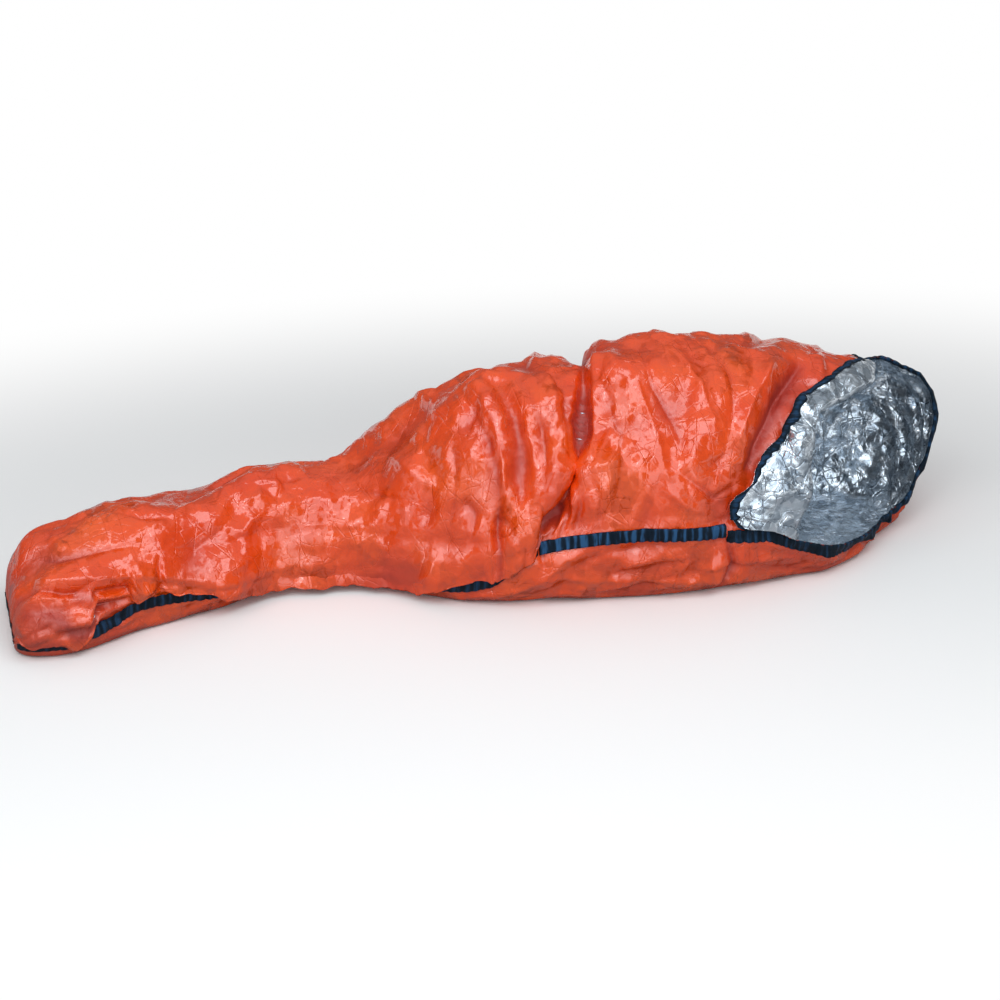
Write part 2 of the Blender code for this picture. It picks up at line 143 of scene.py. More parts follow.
def in_range(tree, value, given, wanted, kind="LINEAR"):
    """Value brought from one range into another."""
    limits = dict(zip(("From Min", "From Max", "To Min", "To Max"), given + wanted))
    return new_node(tree, "MapRange", {"Value": value, **limits}, interpolation_type=kind).outputs["Result"]


def new_material(name):
    """Material with its node tree and its Principled shader."""
    made = bpy.data.materials.new(name)
    made.use_nodes = True
    return made, made.node_tree, made.node_tree.nodes["Principled BSDF"]


# The floor looks paler to the camera than it is to the light that it throws back on the bag. It
# fades to plain white away from the bag, for mirrored and refracted rays too.
SEEN_TONE, LIGHT_TONE = (0.98, 0.95, 0.92, 1), (0.42, 0.42, 0.42, 1)
FLOOR_ROUGHNESS = 0.9
FADE_FROM, FADE_TO = 0.72, 1.8
FADE_SHAPE = (0.6, 1, 1)
floor_paint, tree, shader = new_material("pale_floor")
ray = new_node(tree, "LightPath").outputs
tone = new_node(
    tree, "Mix", {"Factor": ray["Is Camera Ray"], "A": LIGHT_TONE, "B": SEEN_TONE}, data_type="RGBA",
).outputs["Result"]
set_inputs(tree, shader, {"Base Color": tone, "Roughness": FLOOR_ROUGHNESS})
oval = vectors(tree, "MULTIPLY", new_node(tree, "TexCoord").outputs["Object"], FADE_SHAPE)
distance = new_node(tree, "VectorMath", {0: oval}, operation="LENGTH").outputs["Value"]
fade = in_range(tree, distance, (FADE_FROM, FADE_TO), (0.0, 1.0), "SMOOTHSTEP")
mirrored = maths(tree, "MAXIMUM", ray["Is Camera Ray"], ray["Is Glossy Ray"])
shown = maths(tree, "MAXIMUM", mirrored, ray["Is Transmission Ray"])
white = new_node(tree, "Emission").outputs[0]
whiter = maths(tree, "MULTIPLY", fade, shown)
surface = new_node(tree, "MixShader", {"Fac": whiter, 1: shader.outputs[0], 2: white}).outputs[0]
set_inputs(tree, tree.nodes["Material Output"], {"Surface": surface})
studio_floor.data.materials.append(floor_paint)
studio_floor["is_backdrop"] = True

# Name, place, size in metres and power in watts
LAMPS = (
    ("key", (-2.2, -2, 3.1), (3, 2), 46),
    ("high", (0.6, -1.9, 3.4), (3.4, 1.6), 46),
    ("front", (0.2, -3.9, 1.8), (3.4, 3.2), 58),
    ("left", (-3.5, -2.6, 1.8), (2.4, 2.6), 22),
    ("glint", (-1.2, -2.6, 3), (0.3, 0.3), 5),
)
LAMP_COLOUR = (0.89, 0.95, 1)
for name, place, size, power in LAMPS:
    lamp = bpy.data.lights.new(name, "AREA")
    lamp.shape = "RECTANGLE"
    lamp.size, lamp.size_y = size
    lamp.energy = power
    lamp.color = LAMP_COLOUR
    aimed_at_bag(name, lamp, place)

# The sky is bright overhead and dim at the horizon, as in a room with a lit ceiling
SKY_LOW, SKY_HIGH = 0.18, 0.5
SKY_FROM, SKY_TO = 0.4, 0.85
SKY_COLOUR = (0.92, 0.96, 1, 1)
sky = bpy.data.worlds.new("studio_sky")
sky.use_nodes = True
bpy.context.scene.world = sky
tree = sky.node_tree
up = new_node(tree, "SeparateXYZ", {0: new_node(tree, "TexCoord").outputs["Generated"]}).outputs["Z"]
strength = in_range(tree, up, (SKY_FROM, SKY_TO), (SKY_LOW, SKY_HIGH), "SMOOTHSTEP")
set_inputs(tree, tree.nodes["Background"], {"Color": SKY_COLOUR, "Strength": strength})
bpy.context.scene.view_settings.view_transform = "Standard"

# ---- top panel, orange film
# The upper half of the bag: one sheet of thin glossy orange film from the foot seam over the
# body to the mouth, sewn to the base panel along both sides. It lies loosely over what fills
# the bag, a little too large for it, so that it buckles into folds and fine crumples.
FOOT_X = -0.962
FOOT_ROUND = 0.11
FOOT_SEAM_HEIGHT = 0.026
CUFF_START_X = 0.4
HEAD_X = 0.9
ROUNDNESS = 2.2
FOOT_ROUNDNESS = 2.4
FLOOR_ROUNDNESS = 8.0
PLAN_ROUNDNESS = 4.0
PLAN_NARROWING = 0.9
SECTION_STEPS = 24
CORNER_SHARE = 0.5
TAPE_WIDTH = 0.027
STATIONS = (
    (-0.965, -0.02, 0.16, 0.14, 0.178),
    (-0.85, -0.005, 0.176, 0.14, 0.2),
    (-0.7, 0.03, 0.148, 0.13, 0.222),
    (-0.55, 0.075, 0.148, 0.125, 0.21),
    (-0.42, 0.105, 0.125, 0.125, 0.232),
    (-0.27, 0.1, 0.138, 0.14, 0.226),
    (-0.15, 0.065, 0.18, 0.165, 0.31),
    (-0.03, 0.02, 0.214, 0.19, 0.415),
    (0.1, 0, 0.225, 0.205, 0.452),
    (0.24, -0.005, 0.25, 0.21, 0.468),
    (0.4, -0.005, 0.27, 0.215, 0.476),
    (0.57, -0.005, 0.262, 0.215, 0.46),
    (0.7, 0, 0.255, 0.21, 0.43),
    (0.8, 0, 0.205, 0.2, 0.4),
    (0.9, 0, 0.11, 0.185, 0.366),
)
NEAR_SEAM = (
    (-0.965, 0.034), (-0.87, 0.032), (-0.8, 0.048), (-0.69, 0.07), (-0.57, 0.058), (-0.45, 0.045),
    (-0.25, 0.04), (-0.12, 0.04), (-0.01, 0.06), (0.06, 0.128), (0.14, 0.152), (0.28, 0.164),
    (0.49, 0.152), (0.55, 0.148), (0.63, 0.108), (0.72, 0.078), (0.8, 0.064), (0.9, 0.062),
)
FAR_SEAM = (
    (-0.965, 0.034), (-0.86, 0.06), (-0.6, 0.085), (-0.3, 0.11), (-0.05, 0.19), (0.15, 0.245),
    (0.5, 0.27), (0.72, 0.3), (0.9, 0.335),
)
HOOD = (
    (0, 0.11, 0.366, 0.062), (30, 0.096, 0.36, 0.07), (60, 0.108, 0.36, 0.11), (85, 0.14, 0.362, 0.215),
    (105, 0.164, 0.376, 0.325), (140, 0.174, 0.378, 0.348), (180, 0.185, 0.366, 0.335),
)
NEAR_BULGE = ((-0.965, 0.06), (-0.3, 0.075), (0, 0.11), (0.5, 0.125), (0.9, 0.095))
FAR_BULGE = ((-0.965, 0.06), (-0.3, 0.08), (0, 0.12), (0.5, 0.14), (0.9, 0.16))
HOOD_BULGE = ((0, 0.095), (45, 0.11), (100, 0.23), (140, 0.21), (180, 0.16))
MOUTH_FOLD = (
    (0, 0.635), (0.22, 0.658), (0.45, 0.664), (0.56, 0.69), (0.68, 0.78), (0.82, 0.868), (1, 0.895),
    (2, 0.89),
)
CUFF_FREE = (
    (0, 0.47), (0.12, 0.476), (0.2, 0.52), (0.31, 0.552), (0.45, 0.602), (0.63, 0.655), (0.72, 0.712),
    (0.86, 0.79), (1, 0.85), (2, 0.85),
)


def curve_through(points):
    """Smooth curve through (x, value) points, flat beyond its ends."""
    xs, ys = np.array(points, float).T
    rises = np.diff(ys) / np.diff(xs)
    before, after = rises[:-1], rises[1:]
    same_way = before * after > 0
    total = np.where(same_way, before + after, 1.0)
    inner = np.where(same_way, 2 * before * after / total, 0.0)
    slopes = np.concatenate((rises[:1], inner, rises[-1:]))

    def value(x):
        x = np.clip(x, xs[0], xs[-1])
        i = np.clip(np.searchsorted(xs, x, side="right") - 1, 0, len(xs) - 2)
        span = xs[i + 1] - xs[i]
        t = (x - xs[i]) / span
        start = ys[i] * (1 + 2 * t) * (1 - t) ** 2 + slopes[i] * span * t * (1 - t) ** 2
        end = ys[i + 1] * t * t * (3 - 2 * t) + slopes[i + 1] * span * t * t * (t - 1)
        return start + end

    return value


ridge_y, near_reach, far_reach, ridge_height = (
    curve_through([(s[0], s[k]) for s in STATIONS]) for k in (1, 2, 3, 4)
)
hood_reach, hood_height, hood_rim = (curve_through([(h[0], h[k]) for h in HOOD]) for k in (1, 2, 3))
near_seam_height, far_seam_height = curve_through(NEAR_SEAM), curve_through(FAR_SEAM)
near_bulge, far_bulge, hood_bulge = (curve_through(b) for b in (NEAR_BULGE, FAR_BULGE, HOOD_BULGE))
fold_x, free_x = curve_through(MOUTH_FOLD), curve_through(CUFF_FREE)


def half_section(x, y, way, reach, height, bulge, seam_height, shares):
    """Points from the middle of the floor up one wall to the ridge, its seam's share and its length."""
    corner = CORNER_SHARE * bulge
    quarter = np.linspace(0.0, math.pi / 2, SECTION_STEPS)
    low_out = reach - corner + corner * np.sin(quarter)
    low_up = bulge * (1 - np.cos(quarter))
    high_out = reach * np.cos(quarter[1:]).clip(0) ** (2 / ROUNDNESS)
    high_up = bulge + (height - bulge) * np.sin(quarter[1:]) ** (2 / ROUNDNESS)
    out = np.concatenate(([0.0], low_out, high_out))
    up = np.concatenate(([0.0], low_up, high_up))
    arcs = np.concatenate(([0.0], np.cumsum(np.hypot(np.diff(out), np.diff(up)))))
    first = int(np.argmax(up > seam_height))
    share = (seam_height - up[first - 1]) / (up[first] - up[first - 1])
    seam_arc = arcs[first - 1] + share * (arcs[first] - arcs[first - 1])
    near_end = min(max((FOOT_X + FOOT_ROUND - x) / FOOT_ROUND, 0.0), 1.0)
    if near_end > 0:
        rise = (1 - near_end ** FOOT_ROUNDNESS) ** (1 / FOOT_ROUNDNESS)
        floor = (1 - near_end ** FLOOR_ROUNDNESS) ** (1 / FLOOR_ROUNDNESS)
        plan = (1 - (PLAN_NARROWING * near_end) ** PLAN_ROUNDNESS) ** (1 / PLAN_ROUNDNESS)
        to_ridge = (arcs[-1] - arcs) / (arcs[-1] - seam_arc)
        spread = reach * plan * np.where(arcs > seam_arc, to_ridge, arcs / seam_arc)
        gathered = (1 - rise) ** 3
        out = out * plan * (1 - gathered) + spread * gathered
        higher = np.maximum(up - FOOT_SEAM_HEIGHT, 0.0) * rise
        up = FOOT_SEAM_HEIGHT + higher + np.minimum(up - FOOT_SEAM_HEIGHT, 0.0) * floor
    places = shares * arcs[-1]
    out, up = np.interp(places, arcs, out), np.interp(places, arcs, up)
    return np.stack((x + way[0] * out, y + way[1] * out, up), -1), seam_arc / arcs[-1], arcs[-1]


# The skin of the filled bag: near half sections from foot to head, the hood's turned from near
# to far, then far ones back to the foot. Each has the same number of points up its wall.
SKIN_PITCH = 0.004
FOOT_TURNS = 48
WALL_STEPS = 176
HOOD_TURNS = 84
body_x = np.concatenate((
    FOOT_X + FOOT_ROUND * (1 - np.sin(np.linspace(math.pi / 2, 0, FOOT_TURNS))),
    np.arange(FOOT_X + FOOT_ROUND + SKIN_PITCH, HEAD_X - SKIN_PITCH / 2, SKIN_PITCH),
    [HEAD_X],
))
wall_shares = np.linspace(0, 1, WALL_STEPS)
hood_angles = np.linspace(0, 180, HOOD_TURNS + 1)[1:-1]


def side_section(x, way, reach, bulge, seam_height):
    """Half section of the body at x, on the side that way and the curves are for."""
    return half_section(x, ridge_y(x), way, reach(x), ridge_height(x), bulge(x), seam_height(x), wall_shares)


columns = [side_section(x, (0, -1), near_reach, near_bulge, near_seam_height) for x in body_x]
for angle in hood_angles:
    turn = math.radians(angle)
    columns.append(half_section(
        HEAD_X, ridge_y(HEAD_X), (math.sin(turn), -math.cos(turn)), hood_reach(angle), hood_height(angle),
        hood_bulge(angle), hood_rim(angle), wall_shares,
    ))
columns += [side_section(x, (0, 1), far_reach, far_bulge, far_seam_height) for x in reversed(body_x)]
skin = np.array([c[0] for c in columns])
seam_share = np.array([c[1] for c in columns])
wall_length = np.array([c[2] for c in columns])
BODY_COLUMNS = len(body_x)


def facing_out(places):
    """Unit normals of a net of points, out of the bag."""
    along = np.gradient(places, axis=0)
    around = np.gradient(places, axis=1)
    normals = np.cross(along, around)
    length = np.linalg.norm(normals, axis=2, keepdims=True)
    return normals / np.maximum(length, 1e-12)


def unit(value):
    """Value held between 0 and 1."""
    return np.clip(value, 0, 1)


def swell(places, size, seed):
    """Smooth random field over places, about -1 to 1, with waves of about that size."""
    draw = np.random.default_rng(seed)
    total = 0.0
    for _ in range(7):
        way = draw.normal(size=3)
        way *= 2 * math.pi / (np.linalg.norm(way) * size * draw.uniform(0.7, 1.5))
        total = total + np.sin(places @ way + draw.uniform(0, 2 * math.pi))
    return total / 3.2


def crushed(places, size, seed, creases):
    """Field of straight sharp creases that come and go, as film keeps after it was crushed."""
    draw = np.random.default_rng(seed)
    total = 0.0
    warped = places + 0.22 * size * np.stack([swell(places, 3.0 * size, seed + k) for k in (1, 2, 3)], -1)
    for k in range(creases):
        way = draw.normal(size=3)
        way /= np.linalg.norm(way) * size * draw.uniform(0.75, 1.9)
        turn = warped @ way + draw.uniform(0, 1)
        wave = np.abs(2 * (turn - np.floor(turn)) - 1) * 2 - 1
        shown = unit(0.5 + 1.1 * swell(places, 5.0 * size, seed + 10 + k))
        total = total + wave * shown
    return total / math.sqrt(creases)


# Main folds on each side of the ridge: points (x in mm, percent of the wall's length from the middle of
# the floor), height in mm, below 0 for a valley, and half width in mm. The waist crease is first.
CREASE = ((236, 100), (212, 88), (193, 79), (167, 65), (128, 54), (95, 50))
NEAR_MAIN = (
    (CREASE, -26, 12),
    (((292, 100), (266, 87), (246, 75), (228, 64), (200, 55)), 13, 28),
    (((165, 100), (148, 85), (134, 72), (112, 60)), 13, 28),
    (((45, 95), (60, 82), (62, 70), (55, 60)), -12, 20),
    (((5, 94), (18, 80), (22, 66), (26, 58)), 12, 20),
    (((-130, 86), (-112, 72), (-120, 60)), -12, 20),
)
FAR_MAIN = (
    (((236, 100), (250, 86), (262, 74), (268, 64)), -28, 18),
    (((292, 100), (305, 86), (312, 72), (310, 64)), 13, 28),
    (((165, 100), (178, 85), (190, 72)), 13, 28),
    (((45, 95), (70, 80), (66, 70)), -12, 20),
)
# Sharper folds laid over them; the last number is the share of the fold that is left at its ends
NEAR_SHARP = (
    (CREASE, -12, 5, 0.6),
    (((262, 100), (235, 88), (216, 79), (190, 65), (157, 55.5)), 12, 8, 0.6),
    (((128, 54), (116, 50), (100, 45.5)), -12, 7, 0.6),
    (((150, 58), (140, 52.5), (128, 47)), -10, 6, 0.5),
    (((170, 61), (168, 55), (160, 49)), -9, 6, 0.5),
    (((190, 64), (204, 57), (206, 50)), -7, 6, 0.5),
    (((139, 56), (128, 51), (114, 46.5)), 8, 6, 0.5),
    (((160, 60), (154, 54), (144, 48)), 7, 6, 0.5),
    (((128, 54), (83, 50.5), (47, 50.5), (5, 53)), -14, 9, 0.5),
    (((83, 51), (86, 45), (95, 39)), -16, 8, 0.6),
    (((5, 56), (3, 47), (6, 38)), -15, 7, 0.6),
    (((-10, 56), (-12, 47), (-12, 39)), 10, 9, 0.6),
    (((45, 52), (46, 45), (50, 38)), 12, 22, 0.7),
    (((92, 93), (102, 80), (104, 68), (96, 58.5)), -9, 8, 0.4),
    (((80, 80), (84, 70), (80, 60)), 7, 8, 0.4),
    (((45, 90), (60, 80), (62, 70), (52, 57)), -9, 7, 0.4),
    (((155, 96), (170, 86), (160, 74), (150, 66)), -7, 7, 0.3),
    (((-20, 90), (-4, 76), (2, 65), (8, 54)), -10, 8, 0.3),
    (((-70, 78), (-66, 70), (-74, 62), (-84, 54)), -8, 6, 0.3),
    (((-60, 62), (-40, 56), (-46, 48)), -9, 7, 0.4),
    (((-190, 95), (-155, 80), (-109, 67), (-50, 60)), 8, 12, 0.2),
    (((-250, 82), (-200, 72), (-150, 66)), -8, 8, 0.3),
    (((238, 80), (262, 72), (246, 63), (238, 56)), -11, 10, 0.3),
    (((305, 92), (318, 80), (334, 68), (344, 56)), 8, 10, 0.2),
    (((355, 99), (342, 84), (371, 73), (389, 64)), -9, 9, 0.2),
    (((430, 95), (442, 80), (452, 68)), 9, 10, 0.2),
    (((500, 97), (515, 84), (500, 74)), -8, 9, 0.2),
    (((690, 90), (650, 84), (605, 77.5), (560, 69), (520, 61)), -34, 18, 0.5),
    (((640, 92), (590, 84), (540, 76), (500, 68)), 11, 12, 0.4),
    (((350, 63), (398, 58), (440, 54), (475, 56)), -12, 9, 0.3),
    (((330, 58), (380, 53), (430, 50)), 8, 10, 0.2),
    (((-945, 82), (-880, 70), (-751, 62), (-613, 53), (-463, 44), (-330, 43)), 12, 10, 0.3),
    (((-945, 74), (-865, 64), (-751, 57.5), (-613, 49)), -14, 8, 0.4),
    (((-940, 68), (-850, 60), (-733, 53), (-640, 50)), 10, 7, 0.3),
    (((-940, 63), (-850, 56), (-760, 50)), -12, 7, 0.4),
    (((-940, 58), (-860, 52), (-780, 47.5)), 10, 7, 0.3),
    (((-930, 52), (-860, 47.5), (-800, 45)), -11, 7, 0.4),
    (((-900, 90), (-860, 82), (-800, 77), (-700, 72)), -15, 13, 0.3),
    (((-865, 100), (-850, 90), (-830, 84)), 10, 16, 0.5),
    (((-740, 96), (-690, 86), (-600, 80)), -10, 10, 0.2),
    (((-463, 52), (-331, 49), (-205, 48), (-115, 46)), -9, 9, 0.2),
)
FAR_SHARP = (
    (((236, 100), (250, 86), (262, 74), (268, 64), (262, 56)), -9, 7, 0.7),
    (((190, 95), (205, 80), (210, 66)), 8, 12, 0.4),
    (((50, 90), (70, 80), (66, 64)), -9, 9, 0.3),
    (((-60, 92), (-30, 78), (-40, 62)), -10, 10, 0.3),
    (((450, 94), (470, 80), (455, 66)), -10, 10, 0.3),
    (((620, 95), (640, 82), (630, 68)), 9, 12, 0.3),
    (((-940, 78), (-800, 68), (-650, 60), (-480, 55)), 11, 10, 0.3),
    (((-940, 68), (-820, 60), (-680, 54)), -11, 8, 0.3),
    (((-300, 90), (-260, 76), (-270, 60)), -10, 10, 0.3),
)
# Folds of the lip and the base panel's near wall, which run lengthwise
LIP_SHARP = (
    (((560, 33), (660, 29), (760, 29), (860, 33)), -10, 8, 0.4),
    (((540, 29), (640, 25), (760, 24), (870, 27)), 8, 8, 0.4),
    (((600, 24), (700, 21), (820, 22)), -8, 7, 0.4),
    (((474, 42.5), (492, 35), (470, 27)), -22, 11, 0.6),
    (((130, 30), (260, 27), (420, 29)), -8, 9, 0.3),
    (((80, 35), (200, 33), (330, 33)), 7, 9, 0.3),
)
FOLD_CLEARANCE = 0.03
RIDGE_FROM_SHARE, RIDGE_OVER_SHARE = 0.86, 0.13
CREASE_FROM_DEPTH = 0.02
CREASE_LEFT_AT_RIDGE = 0.22


def to_line(points, along, up_wall, lengths):
    """Distance of each point of the wall to a line of points, and how far along that line it is."""
    best = np.full_like(up_wall, 1e9)
    place = np.zeros_like(up_wall)
    for k, ((x0, share0), (x1, share1)) in enumerate(zip(points, points[1:])):
        run, climb = x1 - x0, (share1 - share0) * lengths
        over, above = along - x0, up_wall - share0 * lengths
        t = unit((over * run + above * climb) / (run * run + climb * climb))
        off = np.hypot(over - t * run, above - t * climb)
        nearer = off < best
        best = np.where(nearer, off, best)
        place = np.where(nearer, (k + t) / (len(points) - 1), place)
    return best, place


def in_metres(folds):
    """Folds with shares of the wall as fractions and everything else in metres."""
    for points, height, half_width, *rest in folds:
        yield [(x / 1000, share / 100) for x, share in points], height / 1000, half_width / 1000, *rest


def main_folds(folds, along, up_wall, lengths, seam_arc):
    """The broad folds, which the sewn seam below holds down."""
    fade = unit((up_wall - seam_arc - TAPE_WIDTH / 2) / FOLD_CLEARANCE)
    near_ridge = unit((up_wall / lengths - RIDGE_FROM_SHARE) / RIDGE_OVER_SHARE)
    total = np.zeros_like(up_wall)
    for points, height, half_width in in_metres(folds):
        off = to_line(points, along, up_wall, lengths)[0]
        left = 1 - (1 - CREASE_LEFT_AT_RIDGE) * near_ridge if height < -CREASE_FROM_DEPTH else 1.0
        total += height * left * np.exp(-(off / half_width) ** 2)
    return total * fade


def sharp_folds(folds, along, up_wall, lengths):
    """Narrow folds with a sharp edge, which run out towards their ends."""
    total = np.zeros_like(up_wall)
    for points, height, half_width, left_at_ends in in_metres(folds):
        off, place = to_line(points, along, up_wall, lengths)
        strength = left_at_ends + (1 - left_at_ends) * np.sin(math.pi * place)
        total += height * strength * np.exp(-(off / half_width) ** 1.1)
    return total


def column_of(x, far):
    """Number of the skin's column at x, on the near or the far side."""
    at = np.interp(x, body_x, np.arange(BODY_COLUMNS))
    return np.where(far, len(columns) - 1 - at, at)


def at_column(values, column):
    """Values of the skin's columns, at fractional columns."""
    return np.interp(column, np.arange(len(columns)), values)


def between(net, column, share):
    """Values of a net at fractional columns and shares of the wall."""
    c = np.clip(column, 0, net.shape[0] - 1.000001)
    r = np.clip(share * (WALL_STEPS - 1), 0, WALL_STEPS - 1.000001)
    ci, ri = c.astype(int), r.astype(int)
    cf, rf = (c - ci), (r - ri)
    if net.ndim == 3:
        cf, rf = cf[..., None], rf[..., None]
    low = net[ci, ri] * (1 - cf) + net[ci + 1, ri] * cf
    high = net[ci, ri + 1] * (1 - cf) + net[ci + 1, ri + 1] * cf
    return low * (1 - rf) + high * rf


skin_out = facing_out(skin)
lengths = wall_length[:, None]
up_wall = wall_shares[None, :] * lengths
seam_arc = seam_share[:, None] * lengths
near, far = slice(0, BODY_COLUMNS), slice(len(columns) - BODY_COLUMNS, len(columns))

# The skin laid flat: along the bag, and across it from the ridge; the hood's columns fan out
turn_of = np.radians(np.concatenate((np.zeros(BODY_COLUMNS), hood_angles, np.full(BODY_COLUMNS, 180.0))))
base_of = np.concatenate((body_x, np.full(len(hood_angles), HEAD_X), body_x[::-1]))
from_ridge = lengths - up_wall
flat_x = base_of[:, None] + from_ridge * np.sin(turn_of)[:, None]
flat_y = -from_ridge * np.cos(turn_of)[:, None]


def facets(size, seed, longer, turn):
    """Heights of flat facets that meet in straight sharp creases, as crushed film has, -1 to 1."""
    draw = np.random.default_rng(seed)
    along = (flat_x * math.cos(turn) + flat_y * math.sin(turn)) / (longer * size)
    across = (flat_y * math.cos(turn) - flat_x * math.sin(turn)) / size
    along, across = along - along.min() + 1, across - across.min() + 1
    counts = int(along.max()) + 3, int(across.max()) + 3
    cells = np.stack(np.meshgrid(*(np.arange(n) for n in counts), indexing="ij"), -1)
    corners = (cells + draw.uniform(0.02, 0.98, cells.shape)).reshape(-1, 2)
    heights = draw.uniform(-1, 1, len(corners))
    found, _, triangles, origins, _, _ = delaunay_2d_cdt([Vector(c) for c in corners], [], [], 0, 1e-7, True)
    tree = BVHTree.FromPolygons([(v.x, v.y, heights[o[0]]) for v, o in zip(found, origins)], triangles)
    down = Vector((0, 0, -1))
    spots = np.stack((along, across), -1).reshape(-1, 2).tolist()
    return np.array([tree.ray_cast((x, y, 5.0), down)[0].z for x, y in spots]).reshape(along.shape)


# The film sags a little along the ridge, over the thighs and in front of the crease
SAG = (
    (-0.3, 0), (-0.21, 0.015), (-0.03, 0.015), (0.04, 0), (0.13, 0.004), (0.18, 0.02), (0.225, 0.016),
    (0.262, 0),
)
SAG_FROM_SHARE = 0.62

# The broad folds first, then the sharp ones and the facets on top of them
raised, sharp = np.zeros(skin.shape[:2]), np.zeros(skin.shape[:2])
for side, along, main, narrow in (
    (near, body_x[:, None], NEAR_MAIN, NEAR_SHARP + LIP_SHARP),
    (far, body_x[::-1, None], FAR_MAIN, FAR_SHARP),
):
    raised[side] = main_folds(main, along, up_wall[side], lengths[side], seam_arc[side])
    sharp[side] = sharp_folds(narrow, along, up_wall[side], lengths[side])
sag_share = unit((wall_shares - SAG_FROM_SHARE) / (1 - SAG_FROM_SHARE))[None, :]
sag = curve_through(SAG)(base_of)[:, None] * sag_share
folded = skin + skin_out * (raised - sag)[..., None]
folded_out = facing_out(folded)

# Where on the skin: clear of the floor, on the legs, low at the foot, below the seam, away from the
# seam and the foot seam that hold the film down, and in clusters of finer crumple
off_floor = unit((skin[:, :, 2] - 0.004) / 0.03)
on_leg = unit((-0.16 - skin[:, :, 0]) / 0.22)
at_foot = unit((-0.66 - skin[:, :, 0]) / 0.12) * unit((0.13 - skin[:, :, 2]) / 0.03)
below_seam = unit((seam_arc - up_wall) / 0.03)
from_seam = np.clip(np.abs(up_wall - seam_arc) / 0.02, 0.4, 1)
from_foot = unit(0.15 + (base_of - FOOT_X) / 0.05)[:, None]
hold = off_floor * from_seam * from_foot
clusters = np.clip(0.55 + 0.8 * swell(skin, 0.17, 61), 0.15, 1.35)
upper = 1 - np.maximum(below_seam, at_foot)

# Facets of the crumpled film: height, size, seed, how much longer than wide, turn, and where
BROAD_FACETS = (
    (0.01, 0.105, 301, 1, 0, upper),
    (0.0115, 0.048, 302, 1.9, 1.25, upper * (1 - on_leg)),
    (0.01, 0.05, 303, 1.8, 0.15, upper * on_leg),
    (0.0105, 0.032, 305, 3.2, 0, 1 - upper),
)
FINE_FACETS = (
    (0.011, 0.015, 307, 10, 0, at_foot),
    (0.005, 0.026, 304, 1, 0, clusters),
    (0.0016, 0.015, 306, 1.3, 0.9, clusters),
)
BROAD_LEFT_AT_FOOT = 0.35
fine = 0.006 * swell(skin, 0.2, 3)
for height, size, seed, longer, turn, where in BROAD_FACETS:
    fine += height * facets(size, seed, longer, turn) * where
fine *= 1 - (1 - BROAD_LEFT_AT_FOOT) * at_foot
for height, size, seed, longer, turn, where in FINE_FACETS:
    fine += height * facets(size, seed, longer, turn) * where
shift = fine * hold + sharp * off_floor * np.clip(from_seam, 0.5, 1) * from_foot
film_net = folded + folded_out * shift[..., None]

# The underside is creased too, but only inwards, since it lies on the floor
on_floor = 1 - off_floor
film_net[:, :, 2] += 0.0022 * np.clip(crushed(skin, 0.075, 91, 6), 0, 1.4) * on_floor * from_foot
film_net[:, :, 2] = np.maximum(film_net[:, :, 2], 0.0)
# Both sides share their points along the ridge and along the middle of the floor
for row in (-1, 0):
    shared = 0.5 * (film_net[near, row] + film_net[far, row][::-1])
    film_net[near, row] = shared
    film_net[far, row] = shared[::-1]
    film_net[BODY_COLUMNS:-BODY_COLUMNS, row] = shared[-1]
film_out = facing_out(film_net)
# How deep each spot lies in a fold, and how low it lies at the foot, 0 to 1: the film's colour is painted
# darker there, as painted shade
shade_painted_at = unit(-(0.45 * raised + 1.6 * sharp + 0.8 * fine * hold) / 0.03 + 0.55 * at_foot)

# The film of the leg hangs over the near seam in a long fold, and hides most of its tape. Only the
# film itself hangs. Each entry is x, how much of it hangs, and how far down its lip reaches.
OVERHANG = (
    (-0.958, 0, 0.02), (-0.93, 0.9, 0.02), (-0.915, 1, 0.014), (-0.87, 1, 0.014),
    (-0.845, 1, 0.032), (-0.82, 0.9, 0.032), (-0.795, 0, 0.024), (-0.735, 0, 0.012),
    (-0.712, 0.8, 0.015), (-0.69, 0.7, 0.012), (-0.668, 0.1, 0.01), (-0.64, 0.8, 0.013),
    (-0.56, 0.9, 0.018), (-0.53, 1, 0.03), (-0.46, 1, 0.038), (-0.16, 1, 0.038),
    (-0.115, 0.8, 0.034), (-0.03, 0.5, 0.026), (0, 0.75, 0.03), (0.045, 0.95, 0.038),
    (0.072, 0.9, 0.038), (0.092, 0, 0.038),
)
HANG_LENGTH = 0.085
HANG_TURN = 0.42
HANG_CLEAR = 0.0045
HANG_GAP = 0.003
HANG_OUT = 0.013
HANG_RIPPLE = 0.0015
LOWEST_LIP = 0.008
FIRST_WALL_ROW = 40
NEAR_COLUMNS = 3
NEAR_HEIGHT = 0.005
hang_share = curve_through([(h[0], h[1]) for h in OVERHANG])
hang_drop = curve_through([(h[0], h[2]) for h in OVERHANG])
hung_net = film_net.copy()
